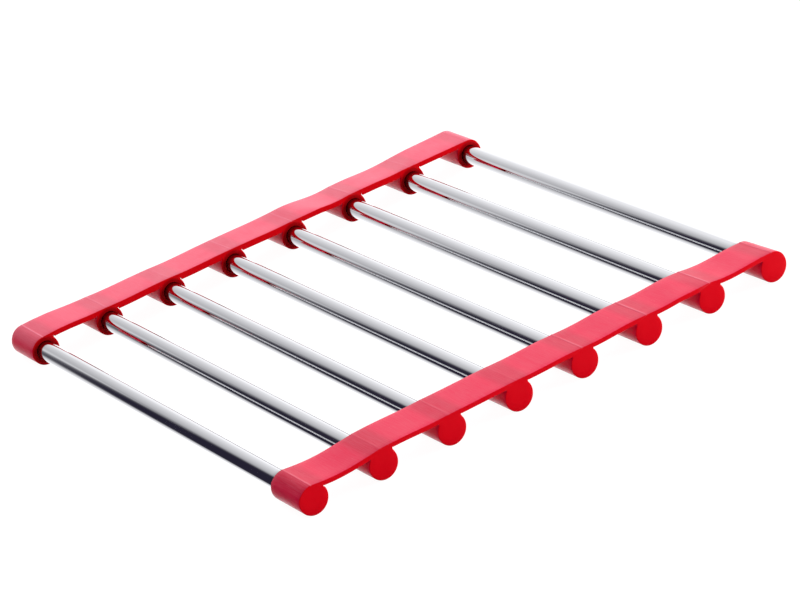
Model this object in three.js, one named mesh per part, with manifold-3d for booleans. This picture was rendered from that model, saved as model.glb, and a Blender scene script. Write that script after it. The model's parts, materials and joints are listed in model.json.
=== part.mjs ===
// Roll-up trivet: eight steel tubes held at both ends in two moulded silicone rails.
// Millimetres, +Z up. +X runs along the rails, and +Y along the tubes from the front rail to the back one.
// The origin is on the table, under the middle of the trivet.
import * as THREE from "three";
import { mergeVertices } from "three/addons/utils/BufferGeometryUtils.js";
import Module from "manifold-3d";

// Overall layout
const rodCount = 8;
const rodPitch = 27;
const trivetDepth = 202;

// Steel tubes
const rodDiameter = 7;
const rodWall = 0.6;
const rodEndChamfer = 0.2;

// Silicone rails
const railWidth = 17;
const strapThickness = 1.5;
const socketWall = 1.9;
const socketEndWall = 2;
const rootFillet = 0.5;
const strapShoulder = 0.4;
const railEdgeRadius = 0.3;
const mouthChamfer = 0.25;

// Fits
const rodFitClearance = 0.1;
const rodEndClearance = 0.3;
const cutOverrun = 1;

// Fineness of the round forms
const arcStepDegrees = 11.25;
const edgeRoundingSteps = 1;

// Sizes that follow
const rodRadius = rodDiameter / 2;
const boreRadius = rodRadius + rodFitClearance;
const boreDepth = railWidth - socketEndWall;
const socketRadius = boreRadius + socketWall;
const railTop = 2 * socketRadius;
const strapUnderside = railTop - strapThickness;
const rodLength = trivetDepth - 2 * (socketEndWall + rodEndClearance);
const railOuterFace = trivetDepth / 2;
const railInnerFace = railOuterFace - railWidth;

// The root fillet touches the round of the socket and the underside of the strap.
const filletHeight = strapUnderside - rootFillet - socketRadius;
const filletReach = Math.sqrt((socketRadius + rootFillet) ** 2 - filletHeight ** 2);
const filletAngle = Math.atan2(filletHeight, filletReach);
const webReach = filletReach + strapShoulder;

const quarterTurn = Math.PI / 2;
const halfTurn = Math.PI;
const fullTurn = 2 * Math.PI;
const arcStep = THREE.MathUtils.degToRad(arcStepDegrees);
const angleTolerance = arcStep / 10;
const roundSegments = Math.round(fullTurn / arcStep);

const silicone = new THREE.MeshStandardMaterial({ color: 0xc8101e, roughness: 0.55, metalness: 0 });
const steel = new THREE.MeshStandardMaterial({ color: 0xc9cbcc, roughness: 0.15, metalness: 1 });

const wasm = await Module();
wasm.setup();

// Place of a rod along the rails, counted from 1 at the -X end
function rodPlace(number) {
  return (number - (rodCount + 1) / 2) * rodPitch;
}

// A closed geometry as a solid that can be cut
function solidOf(geometry) {
  const bare = geometry.clone();
  bare.deleteAttribute("normal");
  bare.deleteAttribute("uv");
  const merged = mergeVertices(bare);
  const vertProperties = merged.attributes.position.array;
  const triVerts = new Uint32Array(merged.index.array);
  return new wasm.Manifold(new wasm.Mesh({ numProp: 3, vertProperties, triVerts }));
}

function geometryOf(solid) {
  const made = solid.getMesh();
  const geometry = new THREE.BufferGeometry();
  geometry.setAttribute("position", new THREE.BufferAttribute(made.vertProperties, made.numProp));
  geometry.setIndex(new THREE.BufferAttribute(made.triVerts, 1));
  geometry.computeVertexNormals();
  return geometry;
}

// A box between two corners
function boxBetween(low, high) {
  const size = new THREE.Vector3().subVectors(high, low);
  const centre = new THREE.Vector3().addVectors(low, high).multiplyScalar(1 / 2);
  return new THREE.BoxGeometry(size.x, size.y, size.z).translate(centre.x, centre.y, centre.z);
}

// Points of an arc, both ends included. Between its ends they lie on whole steps of the circle,
// so that a round has a point at its lowest place and its facets line up with those of the bore.
function arcPoints(centreX, centreY, radius, startAngle, endAngle) {
  const turn = Math.sign(endAngle - startAngle);
  const angles = [startAngle];
  let step = turn > 0 ? Math.floor(startAngle / arcStep) + 1 : Math.ceil(startAngle / arcStep) - 1;
  while (turn * (endAngle - step * arcStep) > angleTolerance) {
    if (turn * (step * arcStep - startAngle) > angleTolerance) {
      angles.push(step * arcStep);
    }
    step += turn;
  }
  angles.push(endAngle);
  return angles.map(
    (angle) => new THREE.Vector2(centreX + radius * Math.cos(angle), centreY + radius * Math.sin(angle)),
  );
}

// Side view of a rail: a flat strap that runs tangent over the sockets and round the outer two.
// The outline runs anticlockwise, from the top of the first socket along the undersides to the last.
function railOutline() {
  const points = [];
  for (let number = 1; number <= rodCount; number += 1) {
    const x = rodPlace(number);
    const first = number === 1;
    const last = number === rodCount;
    const startAngle = first ? quarterTurn : halfTurn - filletAngle;
    const endAngle = last ? fullTurn + quarterTurn : fullTurn + filletAngle;
    const filletY = socketRadius + filletHeight;
    if (!first) {
      points.push(...arcPoints(x - filletReach, filletY, rootFillet, quarterTurn, -filletAngle).slice(0, -1));
    }
    points.push(...arcPoints(x, socketRadius, socketRadius, startAngle, endAngle));
    if (!last) {
      points.push(
        ...arcPoints(x + filletReach, filletY, rootFillet, halfTurn + filletAngle, quarterTurn).slice(1),
      );
    }
  }
  return new THREE.Shape(points);
}

// The moulding before its sockets are bored, with every long edge slightly rounded.
// It lies between two places along the tubes.
function railBlank(lowFace, highFace) {
  const geometry = new THREE.ExtrudeGeometry(railOutline(), {
    depth: highFace - lowFace - 2 * railEdgeRadius,
    bevelEnabled: true,
    bevelThickness: railEdgeRadius,
    bevelSize: railEdgeRadius,
    bevelOffset: -railEdgeRadius,
    bevelSegments: edgeRoundingSteps,
  });
  geometry.rotateX(quarterTurn);
  geometry.translate(0, highFace - railEdgeRadius, 0);
  return solidOf(geometry);
}

// The space of a socket: a blind round hole with a slightly opened mouth.
// It is turned about its own axis and points along +Y, with the mouth at zero.
function boreCutter() {
  const mouthRadius = boreRadius + mouthChamfer + cutOverrun;
  const profile = [
    new THREE.Vector2(0, -cutOverrun),
    new THREE.Vector2(mouthRadius, -cutOverrun),
    new THREE.Vector2(boreRadius, mouthChamfer),
    new THREE.Vector2(boreRadius, boreDepth),
    new THREE.Vector2(0, boreDepth),
  ];
  return new THREE.LatheGeometry(profile, roundSegments);
}

// A whole rail. Side is -1 for the front one and 1 for the back one.
function railSolid(side) {
  const faces = [side * railInnerFace, side * railOuterFace].sort((a, b) => a - b);
  let rail = railBlank(faces[0], faces[1]);
  for (let number = 1; number <= rodCount; number += 1) {
    const bore = boreCutter();
    if (side < 0) {
      bore.rotateZ(halfTurn);
    }
    bore.translate(rodPlace(number), side * railInnerFace, socketRadius);
    rail = rail.subtract(solidOf(bore));
  }
  return rail;
}

// The space round the free strap that follows a socket
function webZone(number) {
  const reachY = railOuterFace + cutOverrun;
  const low = new THREE.Vector3(rodPlace(number) + webReach, -reachY, strapUnderside - rootFillet);
  const high = new THREE.Vector3(rodPlace(number + 1) - webReach, reachY, railTop + cutOverrun);
  return solidOf(boxBetween(low, high));
}

// The space round one socket, as far as the middle of the straps beside it
function socketZone(number) {
  const reachY = railOuterFace + cutOverrun;
  const reachX = rodPitch / 2;
  const low = new THREE.Vector3(rodPlace(number) - reachX, -reachY, -cutOverrun);
  const high = new THREE.Vector3(rodPlace(number) + reachX, reachY, railTop + cutOverrun);
  return solidOf(boxBetween(low, high));
}

// A steel tube along +Y, centred on its own middle, with broken edges at its ends
function rodGeometry() {
  const end = rodLength / 2;
  const innerRadius = rodRadius - rodWall;
  const profile = [
    new THREE.Vector2(innerRadius, -end),
    new THREE.Vector2(rodRadius - rodEndChamfer, -end),
    new THREE.Vector2(rodRadius, -end + rodEndChamfer),
    new THREE.Vector2(rodRadius, end - rodEndChamfer),
    new THREE.Vector2(rodRadius - rodEndChamfer, end),
    new THREE.Vector2(innerRadius, end),
    new THREE.Vector2(innerRadius, -end),
  ];
  return new THREE.LatheGeometry(profile, roundSegments);
}

function namedMesh(name, geometry, material) {
  const mesh = new THREE.Mesh(geometry, material);
  mesh.name = name;
  return mesh;
}

// A cut piece of a rail as a mesh in its station's own frame
function railPiece(name, solid, number) {
  const geometry = geometryOf(solid).translate(-rodPlace(number), 0, 0);
  return namedMesh(name, geometry, silicone);
}

const trivet = new THREE.Group();
const stations = [];
for (let number = 1; number <= rodCount; number += 1) {
  const station = new THREE.Group();
  station.position.x = rodPlace(number);
  const rod = namedMesh("rod_" + number, rodGeometry(), steel);
  rod.position.z = socketRadius;
  station.add(rod);
  stations.push(station);
  trivet.add(station);
}

for (const [rowName, side] of [["front", -1], ["back", 1]]) {
  const rail = railSolid(side);
  for (let number = 1; number <= rodCount; number += 1) {
    const station = stations[number - 1];
    let socket = rail.intersect(socketZone(number));
    if (number > 1) {
      socket = socket.subtract(webZone(number - 1));
    }
    if (number < rodCount) {
      const zone = webZone(number);
      socket = socket.subtract(zone);
      station.add(railPiece(rowName + "_web_" + number, rail.intersect(zone), number));
    }
    station.add(railPiece(rowName + "_socket_" + number, socket, number));
  }
}

export default trivet;
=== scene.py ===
# Roll-up trivet: eight polished steel tubes held in two red silicone rails.
# The CAD model gives every size and place. This file makes the fine surfaces, the finishes and the stage.
# Metres, +Z up, +X along the rails, +Y along the tubes from the front rail to the back one.
import json
import math

import bmesh
import bpy
from mathutils import Matrix, Vector
from mathutils.geometry import tessellate_polygon

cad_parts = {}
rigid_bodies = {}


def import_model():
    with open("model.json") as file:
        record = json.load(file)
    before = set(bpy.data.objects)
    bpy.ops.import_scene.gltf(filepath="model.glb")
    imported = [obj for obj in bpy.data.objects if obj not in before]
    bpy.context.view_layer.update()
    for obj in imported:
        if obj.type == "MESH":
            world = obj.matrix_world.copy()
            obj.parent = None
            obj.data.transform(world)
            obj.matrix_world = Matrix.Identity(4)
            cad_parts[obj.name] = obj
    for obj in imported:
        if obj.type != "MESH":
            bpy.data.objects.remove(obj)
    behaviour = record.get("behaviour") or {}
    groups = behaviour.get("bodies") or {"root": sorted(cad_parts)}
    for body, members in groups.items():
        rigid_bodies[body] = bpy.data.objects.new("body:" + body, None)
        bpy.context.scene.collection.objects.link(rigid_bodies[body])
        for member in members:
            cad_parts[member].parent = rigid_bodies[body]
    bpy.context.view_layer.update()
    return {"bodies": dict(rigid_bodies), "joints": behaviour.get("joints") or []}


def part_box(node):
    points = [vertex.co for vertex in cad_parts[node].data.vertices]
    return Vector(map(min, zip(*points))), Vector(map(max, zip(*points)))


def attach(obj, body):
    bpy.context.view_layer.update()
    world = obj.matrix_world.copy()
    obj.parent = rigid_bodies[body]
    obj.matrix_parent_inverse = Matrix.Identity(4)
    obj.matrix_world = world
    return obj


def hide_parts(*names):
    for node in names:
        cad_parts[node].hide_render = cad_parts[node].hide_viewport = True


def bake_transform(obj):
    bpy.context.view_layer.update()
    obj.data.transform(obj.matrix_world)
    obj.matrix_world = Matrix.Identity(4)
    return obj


bl_info = {
    "name": "Roll-up Trivet",
    "version": (1, 0, 0),
    "blender": (4, 5, 0),
    "location": "3D View > Sidebar > Trivet",
    "description": "Dresses a roll-up trivet of steel tubes and silicone rails, and sets its stage",
    "category": "Object",
}

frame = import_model()


def middle_x(node):
    """The middle of a node's box along the rails."""
    low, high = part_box(node)
    return (low.x + high.x) / 2


# What the frame says. A station is a rod with its two sockets.
JOINTS = frame["joints"]
STATIONS = sorted(frame["bodies"], key=lambda name: int(name.rsplit("_", 1)[1]))
SIDES = {"front": -1, "back": 1}

# Sizes that follow from the frame
rod_low, rod_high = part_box("rod_1")
web_low, web_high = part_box("front_web_1")
ROD_RADIUS = (rod_high.x - rod_low.x) / 2
ROD_AXIS_HEIGHT = (rod_high.z + rod_low.z) / 2
ROD_HALF_LENGTH = rod_high.y
RAIL_TOP = web_high.z
STRAP_THICKNESS = web_high.z - web_low.z
STRAP_UNDERSIDE = web_low.z
RAIL_INNER_FACE = -web_high.y
RAIL_OUTER_FACE = -web_low.y
RAIL_WIDTH = RAIL_OUTER_FACE - RAIL_INNER_FACE
SOCKET_RADIUS = RAIL_TOP / 2
STATION_PLACES = [middle_x(f"rod_{number}") for number in range(1, len(STATIONS) + 1)]
ROD_PITCH = STATION_PLACES[1] - STATION_PLACES[0]
WEB_REACH = web_low.x - STATION_PLACES[0]

# The front rail's outer face stands a little further out than in the CAD model
OUTER_REACH = {"front": 0.0007, "back": 0.0}

# Sizes of the fine surfaces. The others are in the panel.
ROOT_FILLET = 0.0005
MOUTH_ROUNDING = 0.00015
TUBE_END_ROUNDING = 0.0002
BORE_CLEARANCE = 0.0001
ROD_END_CLEARANCE = 0.0003
BORE_RADIUS = ROD_RADIUS + BORE_CLEARANCE
BORE_DEPTH = ROD_HALF_LENGTH + ROD_END_CLEARANCE - RAIL_INNER_FACE

# A socket's closed end is a low dome, which starts at a share of the radius and runs out along the socket
DOME_START_SHARE = 0.55
DOME_FADE_DEPTH = 0.002

# Where the root fillet between a socket and its strap has its centre and its foot, from the socket's middle
FILLET_HEIGHT = STRAP_UNDERSIDE - ROOT_FILLET - SOCKET_RADIUS
FILLET_REACH = math.sqrt((SOCKET_RADIUS + ROOT_FILLET) ** 2 - FILLET_HEIGHT**2)
FILLET_ANGLE = math.atan2(FILLET_HEIGHT, FILLET_REACH)
FILLET_FOOT_REACH = SOCKET_RADIUS * math.cos(FILLET_ANGLE)
FILLET_FOOT_HEIGHT = SOCKET_RADIUS * (1 + math.sin(FILLET_ANGLE))

# How the straps lie, in shares of the strap's thickness. A strap takes a set from being rolled up, so it
# dips or rises between two rods and stands in a low crest over each one.
# Lift is the height over each rod, and tilt how much higher the strap's inner edge is than its middle.
# Sag is the dip halfway between two rods, and wave how much the earlier half of the gap lies lower than the
# later one. Crest is the share of the panel's crest height that stands over each rod.
LIFT_SHARES = {
    "front": (-0.23, 0.1, 0.06, 0.05, -0.02, 0.08, 0.04, -0.18),
    "back": (0.0, -0.12, -0.1, -0.04, 0.0, -0.12, -0.02, 0.2),
}
TILT_SHARES = {
    "front": (0.03, -0.04, 0.0, -0.05, -0.04, -0.06, -0.15, -0.22),
    "back": (-0.08, 0.14, 0.26, 0.24, 0.2, 0.4, 0.4, 0.0),
}
SAG_SHARES = {
    "front": (0.65, -0.02, 0.02, 0.02, 0.02, -0.03, 0.35),
    "back": (-0.2, 0.08, 0.12, 0.08, 0.05, 0.15, -0.12),
}
WAVE_SHARES = {
    "front": (0.06, -0.07, 0.02, 0.08, 0.12, 0.16, 0.16),
    "back": (-0.12, 0.06, 0.06, -0.04, -0.25, -0.12, -0.05),
}
CREST_SHARES = {
    "front": (0.6, 0.15, 0.35, 0.15, 0.7, 0.9, 1.0, 0.8),
    "back": (0.9, 0.4, 0.15, 0.4, 0.5, 0.35, 0.2, 0.3),
}
# Hem is how far the strap's edge on the camera's side has turned under in each gap
HEM_SHARES = {
    "front": (0.17, 0.17, 0.2, 0.17, 0.17, 0.17, 0.17),
    "back": (0.4, 0.72, 0.78, 0.72, 0.45, 0.75, 0.35),
}
HEM_WIDTH = 0.003
# Proud is the most that a strap may stand above its level in the CAD model
STRAP_PROUD = 0.00032
CREST_HALF_WIDTH = 0.0003
# The strap's set fades out between these heights, so the sockets stay round
SET_FADE_LOW = 0.0075
SET_FADE_HIGH = 0.0095

# Fineness of the meshes
ROUND_STEPS = 96
FILLET_STEP_RATIO = 3
ROUNDING_STEPS = 4
TUBE_STEPS = 128
DEPTH_STEPS = 8
WEB_STEPS = 28
WEB_SEAM_STEP = 0.0001
ARM_PLACE_SHARES = (0.03, 0.06, 0.1, 0.16, 0.25, 0.4, 0.55, 0.7, 0.85, 0.98, 1.0)
DOME_RING_SHARES = (0.82, 0.7, 0.55, 0.38, 0.2)
SHARP_ANGLE_DEGREES = 40
# The mesh attribute that carries the painted highlight along each crest
HIGHLIGHT_ATTRIBUTE = "crest_highlight"


# Curves and shapes


def smooth(value):
    """0 below 0, 1 above 1, and a smooth rise between."""
    value = min(1.0, max(0.0, value))
    return value * value * (3 - 2 * value)


def between(values, gap, along):
    """A value that goes evenly from one rod's to the next one's."""
    return values[gap] * (1 - along) + values[gap + 1] * along


def set_share(z):
    """How much a height of the moulding follows the strap: nothing at the rod, all of it in the strap."""
    return smooth((z - SET_FADE_LOW) / (SET_FADE_HIGH - SET_FADE_LOW))


def arc(centre_x, centre_z, radius, start, end, step, hollow=False):
    """Points of an arc with the outward directions of the surface there, both ends included."""
    count = max(2, round(abs(end - start) / step))
    facing = -1 if hollow else 1
    points = []
    for index in range(count + 1):
        angle = start + (end - start) * index / count
        cos, sin = math.cos(angle), math.sin(angle)
        points.append((centre_x + radius * cos, centre_z + radius * sin, facing * cos, facing * sin))
    return points


def circle(radius, place, y, steps):
    """A ring of points round a rod's axis at one place along it."""
    points = []
    for index in range(steps):
        angle = 2 * math.pi * index / steps
        points.append((place + radius * math.cos(angle), y, ROD_AXIS_HEIGHT + radius * math.sin(angle)))
    return points


def socket_outline(first, last):
    """The side view of a socket with its two arms of strap, anticlockwise from the top right.
    Each point is x and z from the foot of the rod's axis, and the outward direction there."""
    step = 2 * math.pi / ROUND_STEPS
    fillet_step = FILLET_STEP_RATIO * step
    right_places = () if last else tuple(share * WEB_REACH for share in reversed(ARM_PLACE_SHARES))
    left_places = () if first else tuple(-share * WEB_REACH for share in ARM_PLACE_SHARES)
    points = [(x, RAIL_TOP, 0, 1) for x in (*right_places, 0.0, *left_places)]
    fillet_height = SOCKET_RADIUS + FILLET_HEIGHT
    upright = math.pi / 2
    start, end = upright, upright + 2 * math.pi
    if not first:
        points.append((-WEB_REACH, STRAP_UNDERSIDE, 0, -1))
        points += arc(-FILLET_REACH, fillet_height, ROOT_FILLET, upright, -FILLET_ANGLE, fillet_step, True)
        start = math.pi - FILLET_ANGLE
    if not last:
        end = 2 * math.pi + FILLET_ANGLE
    points += arc(0.0, SOCKET_RADIUS, SOCKET_RADIUS, start, end, step)[1:-1]
    if not last:
        turn = math.pi + FILLET_ANGLE
        points += arc(FILLET_REACH, fillet_height, ROOT_FILLET, turn, upright, fillet_step, True)
        points.append((WEB_REACH, STRAP_UNDERSIDE, 0, -1))
    return points


class Rail:
    """How the moulding and the strap of one rail lie. Depth is measured from the rail's inner face."""

    def __init__(self, side, settings):
        self.side = side
        self.sign = SIDES[side]
        self.width = RAIL_WIDTH + OUTER_REACH[side]
        self.settings = settings

    def y_at(self, depth):
        """The place across the trivet of a depth in the rail."""
        return self.sign * (RAIL_INNER_FACE + depth)

    def depth_stations(self):
        """The depth of each section of the moulding, and its inset at the rounded edges."""
        rounding = self.settings.edge_rounding
        near = []
        for index in range(ROUNDING_STEPS + 1):
            angle = math.pi / 2 * (1 - index / ROUNDING_STEPS)
            near.append((rounding * (1 - math.sin(angle)), rounding * (1 - math.cos(angle))))
        far = [(self.width - depth, inset) for depth, inset in reversed(near)]
        first, last = near[-1][0], far[0][0]
        middle = [(first + (last - first) * index / DEPTH_STEPS, 0.0) for index in range(1, DEPTH_STEPS)]
        return near + middle + far

    def crest_share(self, x):
        """How much of the full crest stands at a place: most of it right over a rod."""
        last = len(STATION_PLACES) - 1
        nearest = min(last, max(0, round((x - STATION_PLACES[0]) / ROD_PITCH)))
        off_crest = (x - STATION_PLACES[nearest]) / CREST_HALF_WIDTH
        return CREST_SHARES[self.side][nearest] * math.exp(-off_crest * off_crest)

    def strap_rise(self, x, y):
        """How far the strap's top lies above its level in the CAD model at a place."""
        last = len(STATION_PLACES) - 1
        place = min(float(last), max(0.0, (x - STATION_PLACES[0]) / ROD_PITCH))
        gap = min(last - 1, int(place))
        along = place - gap
        across = 1 - 2 * (abs(y) - RAIL_INNER_FACE) / self.width
        share = between(LIFT_SHARES[self.side], gap, along)
        share += across * between(TILT_SHARES[self.side], gap, along)
        share -= SAG_SHARES[self.side][gap] * math.sin(math.pi * along)
        share -= WAVE_SHARES[self.side][gap] * math.sin(2 * math.pi * along)
        crest = self.crest_share(x) * self.settings.crest_height
        return min(STRAP_PROUD, share * STRAP_THICKNESS + crest)

    def hem_drop(self, gap, depth):
        """How much lower the strap's underside lies near its edge on the camera's side, in one gap."""
        from_edge = depth if self.side == "back" else self.width - depth
        return HEM_SHARES[self.side][gap] * STRAP_THICKNESS * smooth(1 - from_edge / HEM_WIDTH)

    def dome_fall(self, x, z):
        """How far the end of a socket falls back from the rail's outer face."""
        away = math.hypot(x, z - ROD_AXIS_HEIGHT) / SOCKET_RADIUS
        fall = smooth((away - DOME_START_SHARE) / (1 - DOME_START_SHARE))
        return self.settings.dome_height * fall * (1 - set_share(z))

    def strap_section(self, gap):
        """The section of a strap across its width, as depth and height from its underside."""
        steps = self.depth_stations()
        top = [(depth, STRAP_THICKNESS - inset) for depth, inset in steps]
        bottom = [(depth, inset - self.hem_drop(gap, depth)) for depth, inset in reversed(steps)]
        return top + bottom


class Skin:
    """A mesh that is put together ring by ring."""

    def __init__(self):
        self.points = []
        self.highlights = []
        self.faces = []

    def ring(self, points, highlights=None):
        """Adds a ring of points, and says which ones they are."""
        start = len(self.points)
        self.points += points
        self.highlights += highlights or [0.0] * len(points)
        return list(range(start, len(self.points)))

    def bridge(self, rings, open_at=()):
        """Faces from each ring to the next one, but for the places that stay open."""
        count = len(rings[0])
        for first, second in zip(rings, rings[1:]):
            for index in range(count):
                after = (index + 1) % count
                if index not in open_at:
                    self.faces.append((first[index], first[after], second[after], second[index]))

    def close(self, ring):
        """One face over a whole ring."""
        self.faces.append(tuple(ring))

    def fill(self, outer, inner):
        """Triangles between an outer ring and an inner one that lie in one XZ plane."""
        flat = []
        for ring in (outer, inner):
            flat.append([Vector((self.points[index][0], self.points[index][2], 0)) for index in ring])
        order = outer + inner
        for triangle in tessellate_polygon(flat):
            self.faces.append(tuple(order[index] for index in triangle))

    def piece(self, name, material):
        """The finished mesh as an object, with its faces turned outwards and its hard edges kept."""
        mesh = bpy.data.meshes.new(name)
        mesh.from_pydata(self.points, [], self.faces)
        if any(self.highlights):
            mesh.attributes.new(HIGHLIGHT_ATTRIBUTE, "FLOAT", "POINT").data.foreach_set("value", self.highlights)
        shape = bmesh.new()
        shape.from_mesh(mesh)
        bmesh.ops.recalc_face_normals(shape, faces=shape.faces)
        for face in shape.faces:
            face.smooth = True
        shape.to_mesh(mesh)
        shape.free()
        mesh.set_sharp_from_angle(angle=math.radians(SHARP_ANGLE_DEGREES))
        mesh.materials.append(material)
        return add_object(name, mesh)


def add_object(name, data):
    """A new object of the scene."""
    added = bpy.data.objects.new(name, data)
    bpy.context.scene.collection.objects.link(added)
    return added


def moulding_rings(rail, skin, number, outline):
    """The rings of a socket and its arms of strap, from the rail's inner face to its outer one."""
    place = STATION_PLACES[number - 1]
    rings = []
    for depth, inset in rail.depth_stations():
        y = rail.y_at(depth)
        near_end = smooth((depth - rail.width + DOME_FADE_DEPTH) / DOME_FADE_DEPTH)
        points = []
        highlights = []
        for x, z, out_x, out_z in outline:
            inset_x, inset_z = x - inset * out_x, z - inset * out_z
            back = rail.dome_fall(inset_x, inset_z) * near_end
            rise = rail.strap_rise(place + inset_x, y) * set_share(inset_z)
            if FILLET_FOOT_HEIGHT < z <= STRAP_UNDERSIDE and abs(x) > FILLET_FOOT_REACH:
                gap = number - 1 if x > 0 else number - 2
                near_arm = smooth((abs(x) - FILLET_FOOT_REACH) / (FILLET_REACH - FILLET_FOOT_REACH))
                rise -= rail.hem_drop(gap, depth) * near_arm
            points.append((place + inset_x, y - rail.sign * back, inset_z + rise))
            # painted highlight: each top point carries how much of it stands over the nearest rod
            highlights.append(rail.crest_share(place + inset_x) if z == RAIL_TOP else 0.0)
        rings.append(skin.ring(points, highlights))
    return rings


def close_arms(skin, rings, first, last):
    """Closes the flat ends of a socket's arms of strap, and says where the outline runs down them."""
    cuts = set()
    if not last:
        cuts.add(len(rings[0]) - 1)
        skin.close([ring[0] for ring in rings] + [ring[-1] for ring in reversed(rings)])
    if not first:
        corner = len(ARM_PLACE_SHARES) * (1 if last else 2)
        cuts.add(corner)
        skin.close([ring[corner] for ring in rings] + [ring[corner + 1] for ring in reversed(rings)])
    return cuts


def close_face(skin, outline_ring, circles):
    """Carries a flat face on from its outline to circles inside it, and returns the last of them."""
    rings = [skin.ring(points) for points in circles]
    skin.fill(outline_ring, rings[0])
    skin.bridge(rings)
    return rings[-1]


def close_end(rail, skin, place, outline_ring):
    """The domed end of a socket, from the rail's outer face to its middle."""
    circles = []
    for share in DOME_RING_SHARES:
        points = circle(share * SOCKET_RADIUS, place, rail.y_at(rail.width), ROUND_STEPS)
        circles.append([(x, y - rail.sign * rail.dome_fall(x - place, z), z) for x, y, z in points])
    skin.close(close_face(skin, outline_ring, circles))


def open_mouth(rail, skin, place, outline_ring):
    """The rounded mouth of a socket and the blind bore behind it."""
    circles = []
    for index in range(ROUNDING_STEPS + 2):
        angle = math.pi / 2 * index / (ROUNDING_STEPS + 1)
        radius = BORE_RADIUS + MOUTH_ROUNDING * (1 - math.sin(angle))
        y = rail.y_at(MOUTH_ROUNDING * (1 - math.cos(angle)))
        circles.append(circle(radius, place, y, ROUND_STEPS))
    mouth = close_face(skin, outline_ring, circles)
    bore_floor = skin.ring(circle(BORE_RADIUS, place, rail.y_at(BORE_DEPTH), ROUND_STEPS))
    skin.bridge((mouth, bore_floor))
    skin.close(bore_floor)


def make_socket(rail, number, material):
    """One socket of a rail: a round blind holder with a rounded mouth and a domed end."""
    place = STATION_PLACES[number - 1]
    first, last = number == 1, number == len(STATIONS)
    skin = Skin()
    rings = moulding_rings(rail, skin, number, socket_outline(first, last))
    skin.bridge(rings, close_arms(skin, rings, first, last))
    close_end(rail, skin, place, rings[-1])
    open_mouth(rail, skin, place, rings[0])
    piece = skin.piece(f"{rail.side}_holder_{number}", material)
    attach(piece, STATIONS[number - 1])
    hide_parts(f"{rail.side}_socket_{number}")


def make_web(rail, node, material):
    """The free strap between two sockets, in place of the CAD web that bends as the trivet rolls up."""
    number = int(node.rsplit("_", 1)[1])
    start = STATION_PLACES[number - 1] + WEB_REACH
    end = STATION_PLACES[number] - WEB_REACH
    run = end - start - 2 * WEB_SEAM_STEP
    inner = [start + WEB_SEAM_STEP + run * index / WEB_STEPS for index in range(WEB_STEPS + 1)]
    section = rail.strap_section(number - 1)
    skin = Skin()
    rings = []
    for x in (start, *inner, end):
        points = []
        for depth, height in section:
            y = rail.y_at(depth)
            points.append((x, y, STRAP_UNDERSIDE + height + rail.strap_rise(x, y)))
        rings.append(skin.ring(points))
    skin.bridge(rings)
    skin.close(rings[0])
    skin.close(rings[-1])
    piece = skin.piece(f"{rail.side}_strap_{number}", material)
    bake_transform(piece)
    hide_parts(node)


def make_tube(number, material, settings):
    """One steel tube, open at both ends, with its edges broken."""
    place = STATION_PLACES[number - 1]
    end, outer, inner = ROD_HALF_LENGTH, ROD_RADIUS, ROD_RADIUS - settings.tube_wall
    profile = [
        (inner, -end),
        (outer - TUBE_END_ROUNDING, -end),
        (outer, -end + TUBE_END_ROUNDING),
        (outer, end - TUBE_END_ROUNDING),
        (outer - TUBE_END_ROUNDING, end),
        (inner, end),
    ]
    skin = Skin()
    rings = [skin.ring(circle(radius, place, y, TUBE_STEPS)) for radius, y in profile]
    skin.bridge(rings + rings[:1])
    piece = skin.piece(f"tube_{number}", material)
    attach(piece, STATIONS[number - 1])
    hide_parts(f"rod_{number}")


# Shader nodes


def new_material(name):
    """An empty material, and its nodes."""
    material = bpy.data.materials.new(name)
    material.use_nodes = True
    material.node_tree.nodes.clear()
    return material, material.node_tree


def feed(tree, socket, value):
    """Gives an input its value, which is another node's socket or a plain number or colour."""
    if isinstance(value, bpy.types.NodeSocket):
        tree.links.new(value, socket)
    else:
        socket.default_value = value


def add(tree, kind, inputs=None, **settings):
    """A shader node with the values of its inputs by name, and with its settings."""
    node = tree.nodes.new(kind)
    for key, value in settings.items():
        setattr(node, key, value)
    for name, value in (inputs or {}).items():
        feed(tree, node.inputs[name], value)
    return node


def show(tree, surface, kind="ShaderNodeOutputMaterial"):
    """Sends a finished shader to the output of its material or world."""
    tree.links.new(surface, add(tree, kind).inputs["Surface"])


def choose(tree, factor, when_off, when_on):
    """One shader or another, by a mask, or a mix of both by a number."""
    node = add(tree, "ShaderNodeMixShader")
    feed(tree, node.inputs[0], factor)
    tree.links.new(when_off, node.inputs[1])
    tree.links.new(when_on, node.inputs[2])
    return node.outputs[0]


def separate(tree, vector):
    """The three parts of a vector, by name."""
    return add(tree, "ShaderNodeSeparateXYZ", {"Vector": vector}).outputs


def math_node(tree, operation, first, second=None, clamp=False):
    """The output of a maths node. An input is a socket or a number."""
    node = add(tree, "ShaderNodeMath", operation=operation, use_clamp=clamp)
    feed(tree, node.inputs[0], first)
    if second is not None:
        feed(tree, node.inputs[1], second)
    return node.outputs[0]


def times(tree, first, *others):
    """The product of sockets and numbers."""
    for other in others:
        first = math_node(tree, "MULTIPLY", first, other)
    return first


def plus(tree, first, *others, clamp=False):
    """The sum of sockets and numbers."""
    for other in others:
        first = math_node(tree, "ADD", first, other, clamp)
    return first


def ramp(tree, factor, low, high, to_low=0.0, to_high=1.0, style="SMOOTHSTEP"):
    """A value that goes from one level to another as the factor rises from low to high."""
    inputs = {"Value": factor, "From Min": low, "From Max": high, "To Min": to_low, "To Max": to_high}
    return add(tree, "ShaderNodeMapRange", inputs, interpolation_type=style, clamp=True).outputs["Result"]


def noise(tree, vector, scale, detail, roughness):
    """Soft noise between 0 and 1."""
    inputs = {"Vector": vector, "Scale": scale, "Detail": detail, "Roughness": roughness}
    return add(tree, "ShaderNodeTexNoise", inputs).outputs["Fac"]


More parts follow.
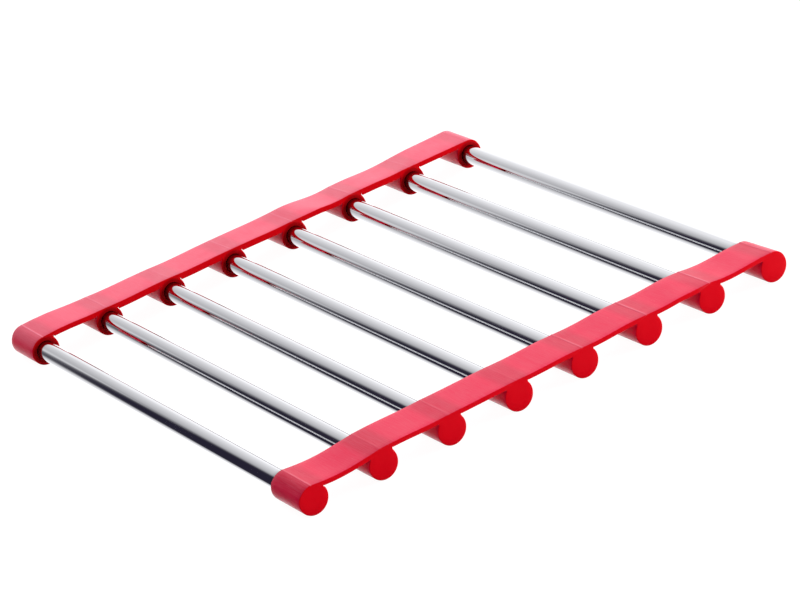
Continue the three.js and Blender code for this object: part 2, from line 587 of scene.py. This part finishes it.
def bump(tree, height, strength, distance, normal=None):
    """The normal of a surface that a height raises, on top of an earlier bump if there is one."""
    node = add(tree, "ShaderNodeBump", {"Height": height, "Strength": strength, "Distance": distance})
    if normal is not None:
        tree.links.new(normal, node.inputs["Normal"])
    return node.outputs["Normal"]


def mix_colour(tree, factor, first, second):
    """Mixes two colours. A colour is a socket or three numbers."""
    node = add(tree, "ShaderNodeMix", {"Factor": factor}, data_type="RGBA", blend_type="MIX")
    for name, value in (("A", first), ("B", second)):
        socket = [s for s in node.inputs if s.name == name and s.type == "RGBA"][0]
        feed(tree, socket, value if isinstance(value, bpy.types.NodeSocket) else (*value, 1.0))
    return [s for s in node.outputs if s.type == "RGBA"][0]


def glossy_surface(tree, colour, roughness, normal):
    """A surface with its colour, roughness and normal. Returns the shader for its own constants."""
    inputs = {"Base Color": colour, "Roughness": roughness, "Normal": normal}
    shader = add(tree, "ShaderNodeBsdfPrincipled", inputs)
    show(tree, shader.outputs[0])
    return shader


# Effects that both finishes share

# Noise of each effect as scale, detail and roughness, and the noise levels between which a mark fades in
LINE_NOISE = (1.0, 3.0, 0.6)
BROAD_LINE_NOISE = (0.17, 2.0, 0.5)
SMUDGE_NOISE = (1.0, 3.0, 0.5)
SPECK_NOISE = (1.0, 1.0, 0.5)
SMUDGE_LEVELS = (0.42, 0.68)
SPECK_LEVELS = (0.7, 0.78)


def group(name, sizes, outputs):
    """An empty node group that takes coordinates and named sizes, and puts out named values."""
    tree = bpy.data.node_groups.new(name, "ShaderNodeTree")
    tree.interface.new_socket(name="Coordinates", in_out="INPUT", socket_type="NodeSocketVector")
    for label, default in sizes.items():
        socket = tree.interface.new_socket(name=label, in_out="INPUT", socket_type="NodeSocketFloat")
        socket.default_value = default
    for label in outputs:
        tree.interface.new_socket(name=label, in_out="OUTPUT", socket_type="NodeSocketFloat")
    return tree, add(tree, "NodeGroupInput"), add(tree, "NodeGroupOutput")


def fine_lines_group(name):
    """Fine lines that all run the same way, as drawing, polishing or a ground mould leaves them."""
    sizes = {"Spacing": 0.0004, "Run Length": 0.02}
    tree, given, result = group(name, sizes, ("Lines", "Broad Lines"))
    place = separate(tree, given.outputs["Coordinates"])
    scaled = {}
    for axis, size in (("X", "Spacing"), ("Y", "Run Length"), ("Z", "Spacing")):
        scaled[axis] = math_node(tree, "DIVIDE", place[axis], given.outputs[size])
    stretched = add(tree, "ShaderNodeCombineXYZ", scaled).outputs[0]
    for label, values in (("Lines", LINE_NOISE), ("Broad Lines", BROAD_LINE_NOISE)):
        tree.links.new(noise(tree, stretched, *values), result.inputs[label])
    return tree


def handling_group(name):
    """Soft smudges and specks, as fingers and dust leave them."""
    sizes = {"Smudge Size": 0.012, "Speck Size": 0.0008}
    tree, given, result = group(name, sizes, ("Smudges", "Specks"))
    for size, label, values, levels in (
        ("Smudge Size", "Smudges", SMUDGE_NOISE, SMUDGE_LEVELS),
        ("Speck Size", "Specks", SPECK_NOISE, SPECK_LEVELS),
    ):
        scale = math_node(tree, "DIVIDE", 1.0, given.outputs[size])
        inputs = {"Vector": given.outputs["Coordinates"], "Scale": scale}
        scaled = add(tree, "ShaderNodeVectorMath", inputs, operation="SCALE")
        value = noise(tree, scaled.outputs[0], *values)
        tree.links.new(ramp(tree, value, *levels), result.inputs[label])
    return tree


SHARED_GROUPS = {"Fine Lines": fine_lines_group, "Handling Marks": handling_group}


def place_group(tree, name, coordinates, sizes):
    """Places a shared effect with its own sizes. The effect is built the first time."""
    effect = bpy.data.node_groups.get(name) or SHARED_GROUPS[name](name)
    inputs = {"Coordinates": coordinates, **sizes}
    return add(tree, "ShaderNodeGroup", inputs, node_tree=effect).outputs


# Silicone

SILICONE_NAME = "Red Silicone"
SILICONE_LINES = {"Spacing": 0.0003, "Run Length": 0.007}
SILICONE_MARKS = {"Smudge Size": 0.011, "Speck Size": 0.0007}

# Where each mask fades. Over a socket it goes by the distance from the rod, as a share of the pitch, on the
# top and the end faces by how far the surface faces that way, and at a mouth by depth and by width.
OVER_SOCKET_FADE = (0.12, 0.26)
ON_TOP_FADE = (0.3, 0.8)
ON_END_FADE = (0.4, 0.8)
MOUTH_SHADE_DEPTHS = (0.0004, 0.001)
MOUTH_SHADE_WIDTH = 0.0009

# How much each mark pales the colour. The painted highlight along a crest shows least where the grain is
# low.
GRAIN_LEVELS = (0.3, 0.7)
STREAK_SHARE = 0.075
HIGHLIGHT_SHARE = 0.25
HIGHLIGHT_GRAIN_LEVEL = 0.6
HIGHLIGHT_LEAST = 0.6
DUST_SHARE = 0.1

# How much smudges and grain roughen it, and the strength and height of the bumps
SILICONE_SMUDGE_ROUGHNESS = 0.08
GRAIN_ROUGHNESS = 0.05
GRAIN_BUMP = (0.2, 0.00006)
SKIN_NOISE = (2600.0, 2.0, 0.5)
SKIN_BUMP = (0.25, 0.00003)
SILICONE_IOR = 1.42
SILICONE_GLOSS = 0.45
SILICONE_GLOSS_TINT = (1.0, 0.1, 0.12, 1.0)


def distance_from_rod(tree, place):
    """Distance from the nearest rod: along the rail as a share of the pitch, and round the rod's axis."""
    offset = math_node(tree, "SUBTRACT", place["X"], STATION_PLACES[0] - ROD_PITCH / 2)
    share = math_node(tree, "FRACT", math_node(tree, "DIVIDE", offset, ROD_PITCH))
    share = math_node(tree, "SUBTRACT", share, 0.5)
    beside = times(tree, share, ROD_PITCH)
    above = math_node(tree, "SUBTRACT", place["Z"], ROD_AXIS_HEIGHT)
    squares = plus(tree, times(tree, beside, beside), times(tree, above, above))
    return math_node(tree, "ABSOLUTE", share), math_node(tree, "SQRT", squares)


def silicone_colour(tree, place, facing, settings):
    """Deep red in the sockets; clearer in the thin strap, partly painted light shining through it; blue as
    painted sheen except on the ends; painted shade at the mouths.
    """
    along, from_axis = distance_from_rod(tree, place)
    depth = math_node(tree, "ABSOLUTE", place["Y"])
    over_socket = ramp(tree, along, *OVER_SOCKET_FADE, 1.0, 0.0)
    on_end = ramp(tree, math_node(tree, "ABSOLUTE", facing["Y"]), *ON_END_FADE)
    on_inner_face = times(tree, on_end, ramp(tree, depth, RAIL_INNER_FACE, RAIL_OUTER_FACE, 1.0, 0.0))
    in_rail = math_node(tree, "SUBTRACT", depth, RAIL_INNER_FACE)
    # painted shade: the colour darkens towards each tube at a socket's mouth
    at_mouth = ramp(tree, in_rail, *MOUTH_SHADE_DEPTHS, 1.0, 0.0)
    shade_radius = BORE_RADIUS + MOUTH_SHADE_WIDTH
    round_mouth = ramp(tree, from_axis, shade_radius, SOCKET_RADIUS, 1.0, 0.0, "LINEAR")
    # the strap's clearer red is partly its own and partly painted light that shines through the thin
    # silicone
    colour = mix_colour(tree, over_socket, settings.strap_colour, settings.socket_colour)
    # the blue in the strap and socket colours is painted sheen, which the end faces go without
    for mask, shade in (
        (on_end, settings.end_face_colour),
        (on_inner_face, settings.inner_face_colour),
        (times(tree, at_mouth, round_mouth), settings.mouth_shade_colour),
    ):
        colour = mix_colour(tree, mask, colour, shade)
    return colour


def silicone_pallor(tree, place, on_top, grain, specks, settings):
    """How much the grain, the dust, the painted sheen on the tops and the painted highlight along the
    crests pale the silicone.
    """
    # painted sheen: the tops pale, more on the back rail than on the front
    on_back_rail = ramp(tree, place["Y"], 0.0, RAIL_INNER_FACE)
    sheen_level = ramp(tree, on_back_rail, 0.0, 1.0, settings.front_sheen, settings.back_sheen, "LINEAR")
    highlighted = add(tree, "ShaderNodeAttribute", attribute_name=HIGHLIGHT_ATTRIBUTE).outputs["Fac"]
    broken = ramp(tree, grain, 0.0, HIGHLIGHT_GRAIN_LEVEL, HIGHLIGHT_LEAST, 1.0)
    streak = times(tree, grain, on_top, STREAK_SHARE)
    painted_sheen = times(tree, sheen_level, on_top)
    crest_highlight = times(tree, highlighted, HIGHLIGHT_SHARE, broken)
    dust = times(tree, specks, on_top, DUST_SHARE)
    return plus(tree, streak, painted_sheen, crest_highlight, dust, clamp=True)


def silicone_material(settings):
    """Satin moulded silicone with a faint grain across the straps."""
    material, tree = new_material(SILICONE_NAME)
    texture_place = add(tree, "ShaderNodeTexCoord")
    coordinates = texture_place.outputs["Object"]
    place = separate(tree, coordinates)
    facing = separate(tree, texture_place.outputs["Normal"])
    lines = place_group(tree, "Fine Lines", coordinates, SILICONE_LINES)["Lines"]
    marks = place_group(tree, "Handling Marks", coordinates, SILICONE_MARKS)
    on_top = ramp(tree, facing["Z"], *ON_TOP_FADE)
    grain = ramp(tree, lines, *GRAIN_LEVELS)
    colour = silicone_colour(tree, place, facing, settings)
    pale = silicone_pallor(tree, place, on_top, grain, marks["Specks"], settings)
    # the pale colour serves painted sheen and painted crest highlights as well as dust and grain
    colour = mix_colour(tree, pale, colour, settings.sheen_and_dust_colour)
    smudged = times(tree, marks["Smudges"], SILICONE_SMUDGE_ROUGHNESS)
    rough = plus(tree, smudged, times(tree, grain, GRAIN_ROUGHNESS), settings.silicone_roughness)
    normal = bump(tree, times(tree, lines, on_top), *GRAIN_BUMP)
    normal = bump(tree, noise(tree, coordinates, *SKIN_NOISE), *SKIN_BUMP, normal)
    shader = glossy_surface(tree, colour, rough, normal)
    shader.inputs["IOR"].default_value = SILICONE_IOR
    shader.inputs["Specular IOR Level"].default_value = SILICONE_GLOSS
    shader.inputs["Specular Tint"].default_value = SILICONE_GLOSS_TINT
    return material


# Steel. The entry shade is painted shade: the steel's colour darkens towards each rail, where a tube enters
# it.

STEEL_NAME = "Polished Steel"
STEEL_LINES = {"Spacing": 0.00016, "Run Length": 0.05}
STEEL_MARKS = {"Smudge Size": 0.02, "Speck Size": 0.0005}
DULL_LEVELS = (0.35, 0.7)
DULL_SHARE = 0.12
ENTRY_SHADE_REACH = 0.0045
ENTRY_SHADE_SHARE = 0.82
STEEL_SMUDGE_ROUGHNESS = 0.04
STEEL_LINE_ROUGHNESS = 0.04
STEEL_LINE_BUMP = (0.07, 0.00001)


def steel_material(settings):
    """Bright drawn stainless tube with fine lines along it."""
    material, tree = new_material(STEEL_NAME)
    coordinates = add(tree, "ShaderNodeTexCoord").outputs["Object"]
    lines = place_group(tree, "Fine Lines", coordinates, STEEL_LINES)
    marks = place_group(tree, "Handling Marks", coordinates, STEEL_MARKS)
    depth = math_node(tree, "ABSOLUTE", separate(tree, coordinates)["Y"])
    to_rail = math_node(tree, "SUBTRACT", RAIL_INNER_FACE, depth)
    dull = times(tree, ramp(tree, lines["Lines"], *DULL_LEVELS), DULL_SHARE)
    # painted shade: the steel darkens towards the rail that it enters
    entry_shaded = ramp(tree, to_rail, 0.0, ENTRY_SHADE_REACH, ENTRY_SHADE_SHARE, 0.0)
    colour = mix_colour(tree, dull, settings.steel_colour, settings.dull_steel_colour)
    colour = mix_colour(tree, entry_shaded, colour, settings.entry_shade_colour)
    smudged = times(tree, marks["Smudges"], STEEL_SMUDGE_ROUGHNESS)
    lined = times(tree, lines["Broad Lines"], STEEL_LINE_ROUGHNESS)
    rough = plus(tree, smudged, lined, settings.steel_roughness)
    normal = bump(tree, lines["Lines"], *STEEL_LINE_BUMP)
    shader = glossy_surface(tree, colour, rough, normal)
    shader.inputs["Metallic"].default_value = 1.0
    return material


def silicone(context):
    """The rails' finish, which is made the first time."""
    return bpy.data.materials.get(SILICONE_NAME) or silicone_material(context.scene.trivet_rails)


def steel(context):
    """The tubes' finish, which is made the first time."""
    return bpy.data.materials.get(STEEL_NAME) or steel_material(context.scene.trivet_tubes)


# Stage

CAMERA_PLACE = (-0.4986, -0.9514, 0.4854)
CAMERA_RIGHT = (0.81456, -0.53954, -0.21303)
CAMERA_DOWN = (-0.39189, -0.24108, -0.88786)
CAMERA_NEAR = 0.05
CAMERA_FAR = 20.0
SENSOR_WIDTH = 36.0
FLOOR_GAP = 0.00005
FLOOR_WHITE = 1.15
WHITE = (1.0, 1.0, 1.0, 1.0)
KEY_PLACE = (1.3, -0.75, 0.35)
OVERHEAD_PLACE = (0.0, 0.4, 0.8)

# What the metal mirrors behind the trivet: a lit paper that ends at the left, and below the floor's level
# the lit table, as an upright sheet too.
SHEET_DISTANCE = 0.75
SHEET_HALF_WIDTH = 2.1
PAPER_HEIGHT = 1.1
TABLE_DEPTH = 1.35

# Levels along the sheets. Each stop is a place as a share of the sheet's distance, and the level there.
# The paper's levels go from the low ones to the high ones between two heights, as the same shares.
PAPER_LOW = (
    (-0.76, 0.02), (-0.71, 0.05), (-0.67, 0.13), (-0.635, 0.28),
    (-0.61, 0.46), (-0.585, 0.66), (-0.56, 0.76), (-0.4, 0.8),
    (-0.2, 0.86), (0.0, 0.95), (0.3, 1.05), (0.6, 1.13),
)
PAPER_HIGH = (
    (-0.72, 0.03), (-0.67, 0.07), (-0.63, 0.15), (-0.58, 0.28),
    (-0.52, 0.41), (-0.46, 0.5), (-0.4, 0.56), (-0.2, 0.66),
    (0.0, 0.75), (0.3, 0.89), (0.6, 1.0),
)
LOW_TO_HIGH = (0.36, 0.54)
TABLE_ACROSS = (
    (-0.74, 0.02), (-0.69, 0.05), (-0.655, 0.13), (-0.62, 0.3),
    (-0.585, 0.5), (-0.54, 0.66), (-0.48, 0.75), (-0.4, 0.83),
    (-0.3, 0.93), (-0.2, 1.0), (0.0, 1.08), (0.25, 1.18),
)

# Levels of the rest of the studio by direction, from left to right, behind the trivet and in front of it
BELOW_BEHIND = (
    (-0.95, 0.8), (-0.82, 0.5), (-0.74, 0.04), (-0.55, 0.06),
    (-0.3, 0.76), (0.0, 1.04), (0.4, 1.2),
)
ABOVE_BEHIND = (
    (-0.95, 0.8), (-0.82, 0.5), (-0.74, 0.05), (-0.6, 0.05),
    (-0.4, 0.3), (0.0, 0.6), (0.6, 0.9),
)
BELOW_FRONT = (
    (-0.7, 0.9), (-0.25, 0.8), (0.0, 0.5), (0.15, 0.12),
    (0.3, 0.05), (0.6, 0.05), (0.75, 0.6),
)
ABOVE_FRONT = (
    (-0.7, 0.5), (-0.3, 0.75), (0.0, 0.65), (0.2, 0.25),
    (0.5, 0.2), (0.75, 0.8),
)
BELOW_TO_ABOVE = (-0.02, 0.02)
FRONT_TO_BEHIND = (-0.2, 0.3)

# The mirrored studio is a little cool: this is added to each level as red, green and blue
COOL_TINT = (0.003, 0.0, 0.018)


def make_camera(settings):
    """The camera, at the photograph's viewing angle."""
    data = bpy.data.cameras.new("Photo Camera")
    data.sensor_width = SENSOR_WIDTH
    data.lens = settings.lens
    data.clip_start = CAMERA_NEAR
    data.clip_end = CAMERA_FAR
    camera = add_object("Photo Camera", data)
    right = Vector(CAMERA_RIGHT).normalized()
    up = -Vector(CAMERA_DOWN)
    back = right.cross(up).normalized()
    up = back.cross(right)
    turn = Matrix((right, up, back)).transposed()
    camera.matrix_world = Matrix.Translation(CAMERA_PLACE) @ turn.to_4x4()
    bpy.context.scene.camera = camera


def flat_sheet(name, corners, material):
    """A flat four-cornered sheet of the stage."""
    mesh = bpy.data.meshes.new(name)
    mesh.from_pydata(corners, [], [(0, 1, 2, 3)])
    mesh.materials.append(material)
    sheet = add_object(name, mesh)


def light_node(tree, kind, colour, strength):
    """A glow or a background with its colour and strength."""
    return add(tree, kind, {"Color": colour, "Strength": strength}).outputs[0]


def floor_material(settings):
    """Part of the white is the floor's own, so its shadow stays faint. The metal sees through it."""
    material, tree = new_material("Pale Floor")
    path = add(tree, "ShaderNodeLightPath")
    diffuse = add(tree, "ShaderNodeBsdfDiffuse", {"Color": (*settings.floor_colour, 1.0)})
    white = light_node(tree, "ShaderNodeEmission", WHITE, FLOOR_WHITE)
    clear = add(tree, "ShaderNodeBsdfTransparent")
    seen = choose(tree, settings.shadow_lift, diffuse.outputs[0], white)
    surface = choose(tree, path.outputs["Is Glossy Ray"], diffuse.outputs[0], clear.outputs[0])
    show(tree, choose(tree, path.outputs["Is Camera Ray"], surface, seen))
    material.cycles.emission_sampling = "NONE"
    return material


def make_floor(settings):
    """A wide pale floor. It shows white to the camera and keeps a faint shadow."""
    half = settings.floor_size / 2
    corners = [(x * half, y * half, -FLOOR_GAP) for x, y in ((-1, -1), (1, -1), (1, 1), (-1, 1))]
    flat_sheet("Floor", corners, floor_material(settings))


def level_ramp(tree, factor, stops):
    """A level that follows the factor from stop to stop. Each stop is a factor and its level."""
    low, high = stops[0][0], stops[-1][0]
    node = add(tree, "ShaderNodeValToRGB")
    elements = node.color_ramp.elements
    while len(elements) > 1:
        elements.remove(elements[-1])
    for index, (place, level) in enumerate(stops):
        position = (place - low) / (high - low)
        element = elements[0] if index == 0 else elements.new(position)
        element.position = position
        element.color = (*(level + tint for tint in COOL_TINT), 1.0)
    tree.links.new(ramp(tree, factor, low, high, 0.0, 1.0, "LINEAR"), node.inputs[0])
    return node.outputs["Color"]


def paper_levels(tree, place):
    """The paper's levels, from its left to its right, low down and high up."""
    across = math_node(tree, "DIVIDE", place["X"], SHEET_DISTANCE)
    up = math_node(tree, "DIVIDE", place["Z"], SHEET_DISTANCE)
    low = level_ramp(tree, across, PAPER_LOW)
    high = level_ramp(tree, across, PAPER_HIGH)
    return mix_colour(tree, ramp(tree, up, *LOW_TO_HIGH), low, high)


def table_levels(tree, place):
    """The table's levels, from its left to its right."""
    return level_ramp(tree, math_node(tree, "DIVIDE", place["X"], SHEET_DISTANCE), TABLE_ACROSS)


def make_sheet(name, finish, levels, low, high, settings):
    """An upright glowing sheet behind the trivet, which the metal mirrors and the camera looks through."""
    material, tree = new_material(finish)
    place = separate(tree, add(tree, "ShaderNodeTexCoord").outputs["Object"])
    glow = light_node(tree, "ShaderNodeEmission", levels(tree, place), settings.studio_strength)
    clear = add(tree, "ShaderNodeBsdfTransparent")
    path = add(tree, "ShaderNodeLightPath")
    show(tree, choose(tree, path.outputs["Is Camera Ray"], glow, clear.outputs[0]))
    material.cycles.emission_sampling = "NONE"
    left, right = -SHEET_HALF_WIDTH, SHEET_HALF_WIDTH
    corners = [(x, SHEET_DISTANCE, z) for x, z in ((left, low), (right, low), (right, high), (left, high))]
    flat_sheet(name, corners, material)


def make_world(settings):
    """Soft studio light: an even level on the object, white to the camera, and a studio in the metal."""
    world = bpy.data.worlds.new("Studio")
    bpy.context.scene.world = world
    world.use_nodes = True
    tree = world.node_tree
    tree.nodes.clear()
    direction = separate(tree, add(tree, "ShaderNodeTexCoord").outputs["Generated"])
    up = ramp(tree, direction["Z"], *BELOW_TO_ABOVE)
    sides = []
    for below, above in ((BELOW_FRONT, ABOVE_FRONT), (BELOW_BEHIND, ABOVE_BEHIND)):
        low = level_ramp(tree, direction["X"], below)
        high = level_ramp(tree, direction["X"], above)
        sides.append(mix_colour(tree, up, low, high))
    mirrored = mix_colour(tree, ramp(tree, direction["Y"], *FRONT_TO_BEHIND), *sides)
    path = add(tree, "ShaderNodeLightPath")
    studio = light_node(tree, "ShaderNodeBackground", mirrored, settings.studio_strength)
    even = light_node(tree, "ShaderNodeBackground", WHITE, settings.world_strength)
    white = light_node(tree, "ShaderNodeBackground", WHITE, 1.0)
    surface = choose(tree, path.outputs["Is Glossy Ray"], even, studio)
    surface = choose(tree, path.outputs["Is Camera Ray"], surface, white)
    show(tree, surface, "ShaderNodeOutputWorld")
    world.cycles.sampling_method = "NONE"


def make_soft_light(name, place, size, power):
    """A square softbox that faces the trivet. The metal doesn't mirror it."""
    data = bpy.data.lights.new(name, "AREA")
    data.shape = "SQUARE"
    data.size = size
    data.energy = power
    lamp = add_object(name, data)
    lamp.location = place
    lamp.rotation_mode = "QUATERNION"
    lamp.rotation_quaternion = Vector(place).to_track_quat("Z", "Y")
    lamp.visible_camera = False
    lamp.visible_glossy = False


# Panel values

COLOUR = {"subtype": "COLOR", "size": 3, "min": 0.0, "max": 1.0}
SHARE = {"subtype": "FACTOR", "min": 0.0, "max": 1.0}


class TrivetTubeSettings(bpy.types.PropertyGroup):
    """Sizes and finish of the tubes"""

    tube_wall: bpy.props.FloatProperty(
        name="Tube Wall", description="Thickness of a tube's wall", unit="LENGTH", precision=5,
        min=0.0003, max=0.002, default=0.0006,
    )
    steel_colour: bpy.props.FloatVectorProperty(
        name="Steel Colour", description="Colour of the bright steel",
        default=(0.6, 0.605, 0.62), **COLOUR,
    )
    dull_steel_colour: bpy.props.FloatVectorProperty(
        name="Dull Steel Colour", description="Colour in the drawing lines",
        default=(0.46, 0.465, 0.49), **COLOUR,
    )
    # Painted shade: the steel darkens to this colour where it enters a rail
    entry_shade_colour: bpy.props.FloatVectorProperty(
        name="Shading Colour", description="Colour of the steel where it enters a rail",
        default=(0.16, 0.16, 0.17), **COLOUR,
    )
    steel_roughness: bpy.props.FloatProperty(
        name="Steel Roughness", description="How matt the polished steel is", default=0.02, **SHARE,
    )


class TrivetRailSettings(bpy.types.PropertyGroup):
    """Sizes and finish of the rails"""

    edge_rounding: bpy.props.FloatProperty(
        name="Edge Rounding", description="Radius of the rail's long edges", unit="LENGTH", precision=5,
        min=0.0, max=0.0007, default=0.00025,
    )
    dome_height: bpy.props.FloatProperty(
        name="Dome Height", description="How far the closed end of a socket bulges", unit="LENGTH",
        precision=5, min=0.0, max=0.001, default=0.00012,
    )
    crest_height: bpy.props.FloatProperty(
        name="Crest Height", description="Height of the highest crest in a strap over a tube",
        unit="LENGTH", precision=5, min=0.0, max=0.0003, default=0.00012,
    )
    # Partly painted light: clearer than the sockets, as if lit through, and its blue is painted sheen
    strap_colour: bpy.props.FloatVectorProperty(
        name="Strap Colour", description="Colour of the thin silicone strap",
        default=(0.86, 0.0, 0.06), **COLOUR,
    )
    # Its blue is painted sheen
    socket_colour: bpy.props.FloatVectorProperty(
        name="Socket Colour", description="Colour of the thick silicone of the sockets",
        default=(0.7, 0.0, 0.045), **COLOUR,
    )
    # Without the blue of the strap and socket colours, which is painted sheen
    end_face_colour: bpy.props.FloatVectorProperty(
        name="End Face Colour", description="Colour of the rail's narrow sides and discs",
        default=(0.74, 0.0, 0.008), **COLOUR,
    )
    inner_face_colour: bpy.props.FloatVectorProperty(
        name="Inner Face Colour", description="Colour of the rail's narrow side between the tubes",
        default=(0.7, 0.0, 0.004), **COLOUR,
    )
    # Painted shade round each tube at the sockets' mouths
    mouth_shade_colour: bpy.props.FloatVectorProperty(
        name="Mouth Colour", description="Colour of the silicone right round a tube",
        default=(0.36, 0.0, 0.002), **COLOUR,
    )
    # Colour of painted sheen and painted highlights, which dust and grain share
    sheen_and_dust_colour: bpy.props.FloatVectorProperty(
        name="Pallor Colour", description="Colour of creases and dust on the silicone",
        default=(0.9, 0.42, 0.55), **COLOUR,
    )
    # Painted sheen on the tops of the front and back rails
    front_sheen: bpy.props.FloatProperty(
        name="Front Sheen", description="How much the front rail's top has paled", default=0.01, **SHARE,
    )
    back_sheen: bpy.props.FloatProperty(
        name="Back Sheen", description="How much the back rail's top has paled", default=0.15, **SHARE,
    )
    silicone_roughness: bpy.props.FloatProperty(
        name="Silicone Roughness", description="How matt the silicone is", default=0.3, **SHARE,
    )


class TrivetStageSettings(bpy.types.PropertyGroup):
    """Camera, floor and lights"""

    lens: bpy.props.FloatProperty(
        name="Lens", description="Focal length of the camera, for a 36 mm sensor", unit="CAMERA",
        min=10.0, max=400.0, default=150.6,
    )
    floor_size: bpy.props.FloatProperty(
        name="Floor Size", description="Side of the square floor", unit="LENGTH", min=0.5, max=20.0,
        default=6.0,
    )
    floor_colour: bpy.props.FloatVectorProperty(
        name="Floor Colour", description="Colour of the pale floor",
        default=(0.85, 0.85, 0.85), **COLOUR,
    )
    shadow_lift: bpy.props.FloatProperty(
        name="Shadow Lift", description="How much the floor's shadow is lightened",
        default=0.84, **SHARE,
    )
    softbox_size: bpy.props.FloatProperty(
        name="Softbox Size", description="Side of the square softboxes", unit="LENGTH", min=0.1, max=4.0,
        default=0.9,
    )
    key_power: bpy.props.FloatProperty(
        name="Key Power", description="Power of the softbox at the right", unit="POWER", min=0.0, max=500.0,
        default=28.0,
    )
    overhead_power: bpy.props.FloatProperty(
        name="Overhead Power", description="Power of the softbox above", unit="POWER", min=0.0, max=500.0,
        default=6.2,
    )
    studio_strength: bpy.props.FloatProperty(
        name="Studio Strength", description="Brightness of the studio that the tubes mirror", min=0.0,
        max=10.0, default=1.3,
    )
    world_strength: bpy.props.FloatProperty(
        name="Fill Strength", description="Brightness of the even light from all round", min=0.0, max=10.0,
        default=0.16,
    )


# Operators


class TRIVET_OT_tubes(bpy.types.Operator):
    """Make the eight steel tubes"""

    bl_idname = "trivet.tubes"
    bl_label = "Steel Tubes"

    def execute(self, context):
        material = steel(context)
        for number in range(1, len(STATIONS) + 1):
            make_tube(number, material, context.scene.trivet_tubes)
        return {"FINISHED"}


class TRIVET_OT_holders(bpy.types.Operator):
    """Make the sixteen silicone sockets that hold the tubes"""

    bl_idname = "trivet.holders"
    bl_label = "Silicone Sockets"

    def execute(self, context):
        material = silicone(context)
        for side in SIDES:
            rail = Rail(side, context.scene.trivet_rails)
            for number in range(1, len(STATIONS) + 1):
                make_socket(rail, number, material)
        return {"FINISHED"}


class TRIVET_OT_straps(bpy.types.Operator):
    """Make the fourteen free straps, in place of the CAD webs that bend as the trivet rolls up"""

    bl_idname = "trivet.straps"
    bl_label = "Silicone Straps"

    def execute(self, context):
        material = silicone(context)
        for joint in JOINTS:
            for bent in joint["deforming_nodes"]:
                node = bent["node"]
                rail = Rail(node.split("_")[0], context.scene.trivet_rails)
                make_web(rail, node, material)
        return {"FINISHED"}


class TRIVET_OT_stage(bpy.types.Operator):
    """Make the floor, the soft studio light and the camera"""

    bl_idname = "trivet.stage"
    bl_label = "Stage"

    def execute(self, context):
        settings = context.scene.trivet_stage
        context.scene.view_settings.view_transform = "Standard"
        make_camera(settings)
        make_floor(settings)
        make_sheet("Paper", "Lit Paper", paper_levels, 0.0, PAPER_HEIGHT, settings)
        make_sheet("Table", "Lit Table", table_levels, -TABLE_DEPTH, 0.0, settings)
        make_world(settings)
        make_soft_light("Key Softbox", KEY_PLACE, settings.softbox_size, settings.key_power)
        make_soft_light("Overhead Softbox", OVERHEAD_PLACE, settings.softbox_size, settings.overhead_power)
        return {"FINISHED"}


class TRIVET_PT_panel(bpy.types.Panel):
    """Lists the trivet's pieces and their values"""

    bl_idname = "TRIVET_PT_panel"
    bl_label = "Roll-up Trivet"
    bl_space_type = "VIEW_3D"
    bl_region_type = "UI"
    bl_category = "Trivet"

    def draw(self, context):
        for operator in OPERATORS:
            self.layout.operator(operator.bl_idname)
        for group_name in SETTINGS:
            settings = getattr(context.scene, group_name)
            for name in settings.__annotations__:
                self.layout.prop(settings, name)


OPERATORS = (TRIVET_OT_stage, TRIVET_OT_tubes, TRIVET_OT_holders, TRIVET_OT_straps)
SETTINGS = {
    "trivet_tubes": TrivetTubeSettings,
    "trivet_rails": TrivetRailSettings,
    "trivet_stage": TrivetStageSettings,
}


def register():
    for settings in SETTINGS.values():
        bpy.utils.register_class(settings)
    for operator in OPERATORS:
        bpy.utils.register_class(operator)
    bpy.utils.register_class(TRIVET_PT_panel)
    for name, settings in SETTINGS.items():
        setattr(bpy.types.Scene, name, bpy.props.PointerProperty(type=settings))


def unregister():
    for name in SETTINGS:
        delattr(bpy.types.Scene, name)
    bpy.utils.unregister_class(TRIVET_PT_panel)
    for operator in reversed(OPERATORS):
        bpy.utils.unregister_class(operator)
    for settings in reversed(SETTINGS.values()):
        bpy.utils.unregister_class(settings)


def main():
    register()
    bpy.ops.trivet.stage()
    bpy.ops.trivet.tubes()
    bpy.ops.trivet.holders()
    bpy.ops.trivet.straps()


if __name__ == "__main__":
    main()
